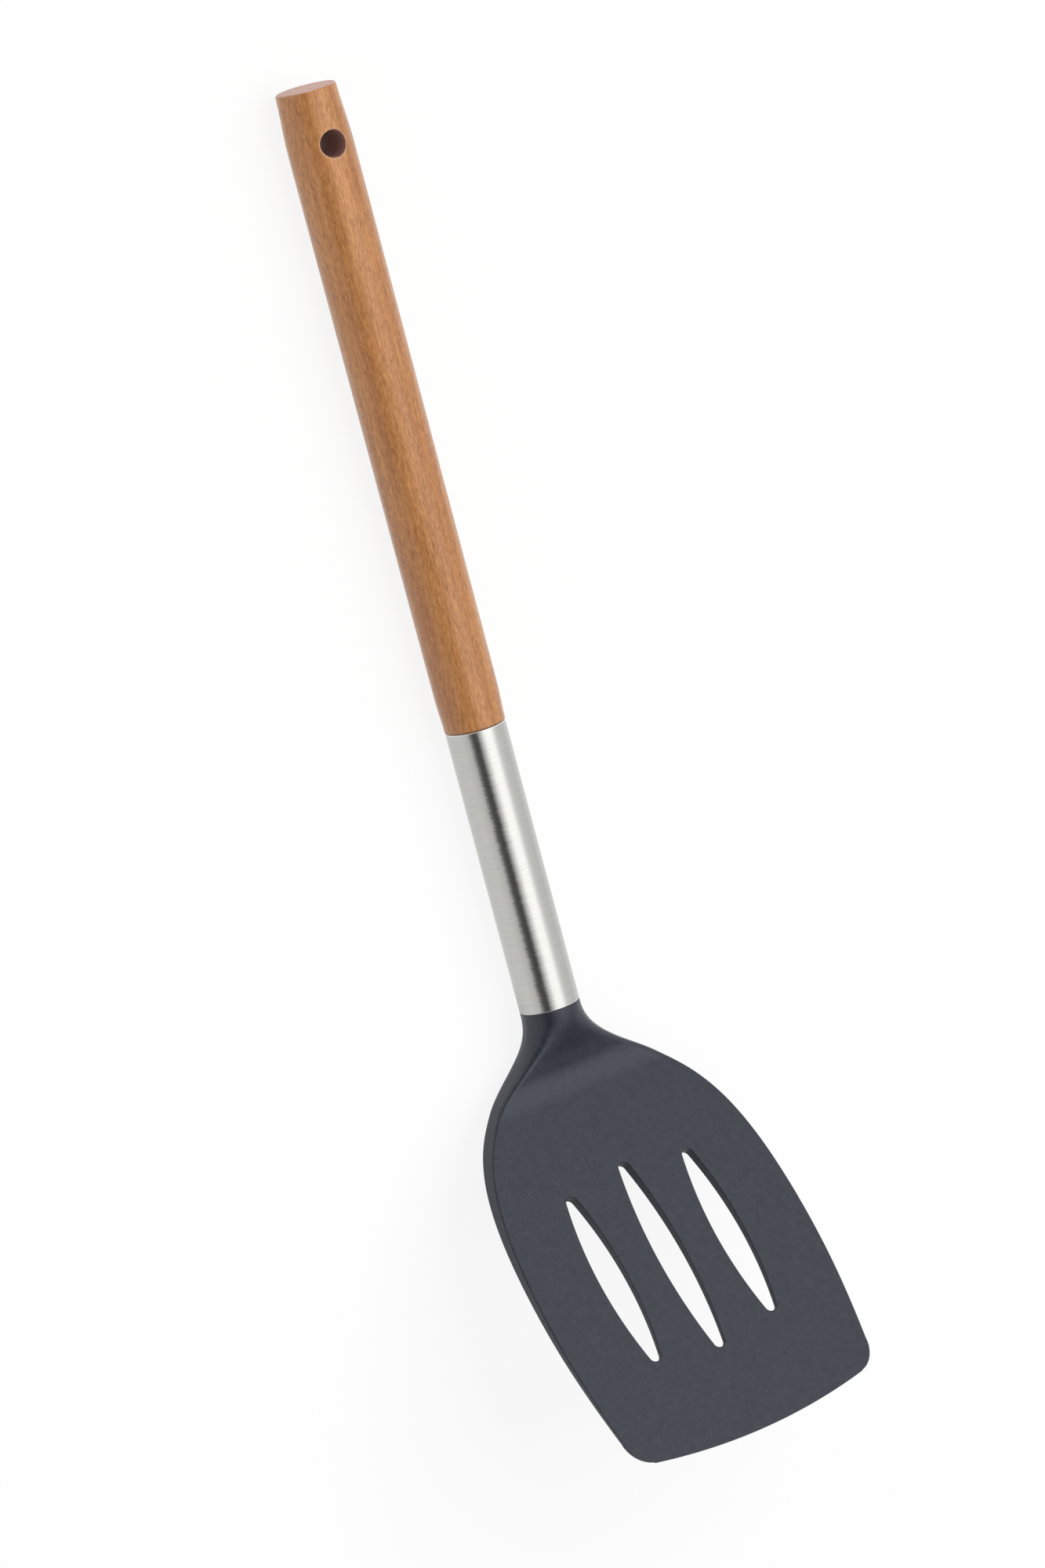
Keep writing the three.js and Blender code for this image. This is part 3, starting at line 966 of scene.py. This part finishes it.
def wood_grain(wood):
    """Bands, streaks, flecks and fibres, added up to a tone between brown and gold.

    Gives that colour, the fibres, and a mask of the pores, which gather where the bands are high.
    """
    bands = wood.noise(wood.place((9, 230, 230)), detail=3, distortion=0.6)
    streaks = wood.noise(wood.place((55, 900, 900)), detail=3, roughness=0.65, distortion=0.3)
    flecks = wood.noise(wood.place((620, 1700, 1700), (0.05, 0.27, 0.41)), detail=3, roughness=0.6)
    fibres = wood.noise(wood.place((300, 3000, 3000)), detail=2, roughness=0.6)
    pores = wood.noise(wood.place((330, 4400, 4400), (0.37, 0.11, 0.23)), detail=1)
    pore_mask = wood.ramp(pores + (bands - 0.5) * 0.25, (0.62, 0), (0.73, 1))
    grain = bands * 0.24 + streaks * 0.22 + flecks * 0.32 + fibres * 0.22
    tone = wood.ramp(grain, (0.40, 0), (0.60, 1))
    return wood.mix(tone, wood_brown, wood_gold), fibres, pore_mask


print("grain from", wood_brown[:3], "to", wood_gold[:3])

# %% Sawn end, joint line and bore
end_pale = rgb(0.760, 0.530, 0.480)
end_brown = rgb(0.560, 0.360, 0.300)
pith = (0, 13 * MM, -9 * MM)
# width of the dark line painted as the shade in the groove at the joint
joint_shade_width = 0.5 * MM


def sawn_end(wood, fibres):
    """Colour of the end face, rings about the pith mixed with fibres, and the mask of that face."""
    rings = wood.node("ShaderNodeTexWave", {"wave_type": "RINGS", "rings_direction": "X"}, {
        "Vector": wood.place((0, 1000, 1000), pith), "Scale": 0.22, "Distortion": 2.0, "Detail": 3.0,
    }, output=1)
    from_end = wood.place((1 / end_round, 1, 1), (handle_end, 0, axis_height))
    at_end = wood.ramp(wood.axis(from_end, 0), (0.10, 1), (0.50, 0))
    return wood.mix(rings * 0.6 + fibres * 0.4, end_brown, end_pale), at_end


def painted_joint_shade(wood):
    """Mask of the painted shade in the groove: the last fraction of a millimetre before the steel."""
    from_joint = wood.place((-1 / joint_shade_width, 1, 1), (wood_joint, 0, axis_height))
    return wood.ramp(wood.axis(from_joint, 0), (0.40, 1), (0.95, 0))


def hole_masks(wood):
    """Masks of the hole's painted rim highlight and of its bore, from half the squared distance to its
    middle line.
    """
    from_bore = wood.place((1 / hole_radius,) * 3, (hole_x, 0, axis_height))
    along = wood.axis(from_bore, 0)
    aside = wood.vector("DOT_PRODUCT", from_bore, (0, np.cos(hole_turn), np.sin(hole_turn)), output=1)
    reach = (along * along + aside * aside) * 0.5
    highlight_at_rim = wood.ramp(reach, (0.50, 0), (0.56, 1), (0.62, 1), (0.68, 0))
    return highlight_at_rim, wood.ramp(reach, (0.52, 1), (0.56, 0))


print(f"joint line of {joint_shade_width:.4f} m")

# %% Wood finish
wood_dark = rgb(0.140, 0.045, 0.014)
# pale colour painted on the hole's rim as a highlight
hole_rim_highlight = rgb(0.640, 0.420, 0.270)
bore_wood = rgb(0.350, 0.190, 0.160)
satin_coat = 0.40


def oiled_wood():
    """The grain, with the end, the pores, the joint and the hole mixed over it one after the other."""
    wood = Finish("oiled_wood", {"IOR": 1.5, "Coat IOR": 1.5, "Coat Roughness": 0.22})
    colour, fibres, pore_mask = wood_grain(wood)
    end_tone, at_end = sawn_end(wood, fibres)
    highlight_at_rim, in_bore = hole_masks(wood)
    colour = wood.mix(at_end * 0.9, colour, end_tone)
    colour = wood.mix(pore_mask * (0.42 - at_end * 0.22), colour, wood_dark)
    # painted shade: the groove where the wood meets the steel is darkened in the colour
    colour = wood.mix(painted_joint_shade(wood) * 0.9, colour, wood_dark)
    # painted highlight: the hole's rim is made paler in the colour
    colour = wood.mix(highlight_at_rim * 0.3, colour, hole_rim_highlight)
    colour = wood.mix(in_bore * 0.9, colour, bore_wood)
    ripple = wood.noise(wood.place((60, 260, 260), (0.19, 0.31, 0.07)), detail=2)
    bare = in_bore + at_end
    wood.set({
        "Base Color": colour,
        "Roughness": 0.27 + fibres * 0.14 + pore_mask * 0.1 + bare * 0.4,
        "Coat Weight": satin_coat - bare * satin_coat,
        "Normal": wood.bump(ripple + fibres * 0.08 - pore_mask * 0.08, 0.5 * MM),
    })
    return wood.material


oiled = oiled_wood()
print("finish:", oiled.name)

# %% [markdown]
# ## Brushed steel
# The tube was brushed while it turned, so the scratches run round it. Real scratches are far too fine to
# model, and a bump map of them would only glitter. A noise that changes quickly along X and slowly
# across it varies the grey and the roughness instead, and sways the normal a little round the tube, so
# that the edges of the reflections are combed as on the real one. One side is brushed coarser. The
# deburred rims are duller than the rest, and their colour is painted brighter as a highlight.

# %% Steel finish
steel_dark = rgb(0.47, 0.468, 0.448)
steel_pale = rgb(0.56, 0.557, 0.534)
# rim colour brighter than the steel: a painted highlight on the rounded ends
steel_rim_highlight = rgb(0.95, 0.947, 0.93)
tube_middle = (wood_joint + head_joint) / 2
half_tube_mm = (head_joint - wood_joint) / 2 / MM


def rim_mask(steel):
    """1 in the last fraction of a millimetre at both ends: half the length less the distance along X."""
    along = steel.axis(steel.place((1 / MM, 1, 1), (tube_middle, 0, axis_height)), 0)
    from_end = half_tube_mm - steel.node("ShaderNodeMath", {"operation": "ABSOLUTE"}, {0: along})
    return steel.ramp(from_end, (0.15, 1), (0.40, 0))


def swayed_normal(steel, fine, broad):
    """The outward normal, pushed round the tube by the noise, more on the coarse side at low Y."""
    outward = steel.node("ShaderNodeNewGeometry", output="Normal")
    around = steel.vector("CROSS_PRODUCT", outward, (1, 0, 0))
    coarse_side = steel.ramp(steel.axis(outward, 1) * 0.5 + 0.5, (0.17, 1), (0.26, 0))
    fine_sway = (fine - 0.5) * (0.06 + coarse_side * 0.15)
    broad_sway = (broad - 0.5) * (0.02 + coarse_side * 0.06)
    push = {0: around, "Scale": fine_sway + broad_sway}
    sway = steel.node("ShaderNodeVectorMath", {"operation": "SCALE"}, push)
    return steel.vector("NORMALIZE", steel.vector("ADD", outward, sway))


def brushed_steel():
    """Rings of fine scratches in colour, roughness and normal, and deburred rims painted bright as a
    highlight.
    """
    steel = Finish("brushed_steel", {"Metallic": 1.0})
    fine = steel.noise(steel.place((5200, 60, 60)), detail=2, roughness=0.6)
    broad = steel.noise(steel.place((2200, 110, 110)), detail=2)
    scratches = steel.ramp(fine * 0.6 + broad * 0.4, (0.30, 0), (0.70, 1))
    highlight_at_rim = rim_mask(steel)
    grey = steel.mix(scratches, steel_dark, steel_pale)
    steel.set({
        # the rims' brighter colour is a painted highlight
        "Base Color": steel.mix(highlight_at_rim, grey, steel_rim_highlight),
        "Roughness": 0.16 + fine * 0.08 + broad * 0.04 + highlight_at_rim * 0.3,
        "Normal": swayed_normal(steel, fine, broad),
    })
    return steel.material


steel = brushed_steel()
print("finish:", steel.name)

# %% [markdown]
# ## Slate nylon
# Glass-filled nylon comes out of a spark-eroded mould with a fine matte grain. It is a dark slate grey
# with a touch of blue, a little mottled. A plain rough shader would look like paint, so a fine bump
# breaks its gloss into a soft sheen.

# %% Nylon finish
nylon_deep = rgb(0.011, 0.014, 0.024)
nylon_pale = rgb(0.023, 0.028, 0.042)
grain_depth = 0.06 * MM


def slate_nylon():
    """A fine moulded grain in the bump, and a slight mottle in colour and roughness."""
    nylon = Finish("slate_nylon", {"IOR": 1.5})
    grain = nylon.noise(nylon.place((1500, 1500, 1500)), detail=3, roughness=0.7)
    mottle = nylon.noise(nylon.place((520, 520, 520)), detail=3)
    speckle = nylon.ramp(mottle * 0.4 + grain * 0.6, (0.36, 0), (0.64, 1))
    nylon.set({
        "Base Color": nylon.mix(speckle, nylon_deep, nylon_pale),
        "Roughness": 0.27 + grain * 0.10 + mottle * 0.06,
        "Normal": nylon.bump(grain, grain_depth, 0.8),
    })
    return nylon.material


nylon = slate_nylon()
print("finish:", nylon.name)

# %% [markdown]
# ## Set glue
# The two films of glue are inside the tube and never show, but they are pieces of the turner, so they
# keep their CAD solids and get an amber resin of their own.

# %% Glue finish
glue_amber = rgb(0.50, 0.34, 0.11)
glue_cloudy = rgb(0.66, 0.50, 0.22)


def set_glue():
    """Amber resin with a few cloudy places."""
    glue = Finish("set_glue", {"IOR": 1.5})
    cloud = glue.noise(glue.place((500, 500, 500)), detail=2)
    glue.set({
        "Base Color": glue.mix(cloud, glue_amber, glue_cloudy),
        "Roughness": 0.22 + cloud * 0.15,
    })
    return glue.material


glue = set_glue()
print("finish:", glue.name)

# %% [markdown]
# ## Putting the pieces on the frame
# Each new piece rides on the body and stands for its CAD node, which it hides. The glue
# films stay as CAD solids and only take their finish.

# %% Ride, replace and dress
dressed = [
    (handle, "wooden_handle", "oiled_wood", oiled),
    (tube, "steel_tube", "brushed_steel", steel),
    (head, "slotted_head", "slate_nylon", nylon),
]
for piece, node, slot, material in dressed:
    piece.data.materials.append(material)
    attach(piece, "root")
    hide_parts(node)
    print(piece.name, "stands for", node)

for node in ("handle_glue_sleeve", "head_glue_sleeve"):
    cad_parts[node].material_slots[0].material = glue

# %% [markdown]
# ## White sweep
# The background is pure white. More light would bleach the turner too, so the floor is a pale diffuse
# sheet that the camera and the reflections see mostly as white. A share of it stays diffuse near the
# turner, which keeps a soft shadow, and it fades to full white further away. Under the blade the
# reflections see the shaded sheet itself, so the walls of the slots stay dark.

# %% Floor
floor_half_size = 6.0
floor_colour = rgb(0.92, 0.92, 0.92)
floor_white_share = 0.87
fade_reach = (0.25, 0.15)
shade_centre = (0.135, -0.004, 0)
shade_reach = (0.062, 0.046)
WHITE = rgb(1, 1, 1)


def floor_distance(kit, reach, centre):
    """Distance from a centre on the floor, with the reach along X and Y as the unit."""
    return kit.vector("LENGTH", kit.place((1 / reach[0], 1 / reach[1], 0), centre), output=1)


def white_sweep():
    """A diffuse sheet mixed with plain white, for the rays that should see the background.

    The white's share rises from its value at the turner to 1 away from it. Reflections see none under
    the blade.
    """
    material = bpy.data.materials.new("white_sweep")
    material.use_nodes = True
    kit = Kit(material.node_tree)
    kit.tree.nodes.clear()
    camera_ray, glossy_ray, clear_ray = (kit.node("ShaderNodeLightPath", output=name) for name in (
        "Is Camera Ray", "Is Glossy Ray", "Is Transmission Ray",
    ))
    lit = kit.ramp(floor_distance(kit, shade_reach, shade_centre) * 0.5, (0.40, 0), (0.60, 1))
    away = floor_distance(kit, fade_reach, (0, 0, 0))
    white_share = kit.ramp(away * 0.25, (0.25, floor_white_share), (0.75, 1))
    seen = kit.node("ShaderNodeClamp", {}, {0: camera_ray + glossy_ray * lit + clear_ray})
    sheet = kit.node("ShaderNodeBsdfDiffuse", {}, {"Color": floor_colour})
    white = kit.node("ShaderNodeEmission", {}, {"Color": WHITE, "Strength": 1.0})
    mixed = kit.node("ShaderNodeMixShader", {}, {0: seen * white_share, 1: sheet, 2: white})
    kit.node("ShaderNodeOutputMaterial", {}, {0: mixed})
    return material


def add_floor():
    """One large square at the height where the turner lies."""
    corner = floor_half_size
    mesh = bpy.data.meshes.new("sweep")
    mesh.from_pydata(
        [(-corner, -corner, 0), (corner, -corner, 0), (corner, corner, 0), (-corner, corner, 0)], [],
        [(0, 1, 2, 3)],
    )
    mesh.materials.append(white_sweep())
    floor = bpy.data.objects.new("sweep", mesh)
    bpy.context.scene.collection.objects.link(floor)
    return floor


print("floor:", add_floor().name)

# %% [markdown]
# ## Studio around the turner
# The studio is a plain dome of soft light. Only the reflections see its panels, which run along X, so a
# level over the angle about X describes them: white at the sides, a bright strip over the turner, and a
# dark gap where the photographer stands. That gap is the dark band down the steel.

# %% Dome with its panels
dome_level = 0.62
panel_most = 2.0
panel_levels = [
    (-90, 0.96), (-68, 0.92), (-54, 0.14), (-31, 0.03), (-26, 0.50), (-12, 1.30),
    (-2, 1.98), (24, 1.98), (37, 1.20), (52, 0.97), (70, 0.95), (90, 0.85),
]
panel_reach = [(-1, 0.7), (-0.64, 0.7), (-0.42, 1), (0.28, 1), (0.48, 0.32), (1, 0.32)]


def studio_dome():
    """White to the camera, a plain level for soft light, and the panels to reflections.

    A panel's level hangs on the angle about X, 0 straight up and 90 towards +Y, and on how far the
    direction points along X, because the panels are dimmer beyond both ends of the turner.
    """
    world = bpy.data.worlds.new("studio")
    world.use_nodes = True
    bpy.context.scene.world = world
    kit = Kit(world.node_tree)
    kit.tree.nodes.clear()
    way = kit.node("ShaderNodeTexCoord", output=0)
    x, y, z = (kit.axis(way, number) for number in range(3))
    turn = kit.node("ShaderNodeMath", {"operation": "ARCTAN2"}, {0: y, 1: z}) * (0.5 / np.pi) + 0.5
    panels = kit.ramp(turn, *[(angle / 360 + 0.5, level / panel_most) for angle, level in panel_levels])
    reach = kit.ramp(x * 0.5 + 0.5, *[(place / 2 + 0.5, level) for place, level in panel_reach])
    studio = kit.node("ShaderNodeBackground", {}, {0: panels * reach, 1: panel_most})
    plain = kit.node("ShaderNodeBackground", {}, {0: WHITE, 1: dome_level})
    white = kit.node("ShaderNodeBackground", {}, {0: WHITE, 1: 1.0})
    glossy_ray = kit.node("ShaderNodeLightPath", output="Is Glossy Ray")
    camera_ray = kit.node("ShaderNodeLightPath", output="Is Camera Ray")
    mixed = kit.node("ShaderNodeMixShader", {}, {0: glossy_ray, 1: plain, 2: studio})
    mixed = kit.node("ShaderNodeMixShader", {}, {0: camera_ray, 1: mixed, 2: white})
    kit.node("ShaderNodeOutputWorld", {}, {0: mixed})
    return world


print("dome:", studio_dome().name)

# %% [markdown]
# ## Key light
# One large softbox hangs over the turner, a little to its left side, and gives the wood and the nylon
# their form. A small lamp would draw hard shadows. The steel and the gloss see the dome's panels
# instead, so the softbox is hidden from reflections.

# %% Softbox
key_place = Vector((-0.25, 0.46, 1.12))
key_side = 1.3
key_radiance = 1.9


def softbox(name, place, side, radiance):
    """A square of light that faces the origin, with one side along X. The camera doesn't see it.

    Its power is its radiance times pi times its area.
    """
    lamp = bpy.data.lights.new(name, "AREA")
    lamp.shape = "SQUARE"
    lamp.size = side
    lamp.energy = radiance * np.pi * side * side
    back = place.normalized()
    up = back.cross(Vector((1, 0, 0))).normalized()
    turn = Matrix((up.cross(back), up, back)).transposed()
    box = bpy.data.objects.new(name, lamp)
    box.matrix_world = Matrix.Translation(place) @ turn.to_4x4()
    box.visible_camera = False
    box.visible_glossy = False
    bpy.context.scene.collection.objects.link(box)
    return box


key_light = softbox("key_light", key_place, key_side, key_radiance)
bpy.context.scene.view_settings.view_transform = "Standard"
print(f"key light of {key_light.data.energy:.1f} W")
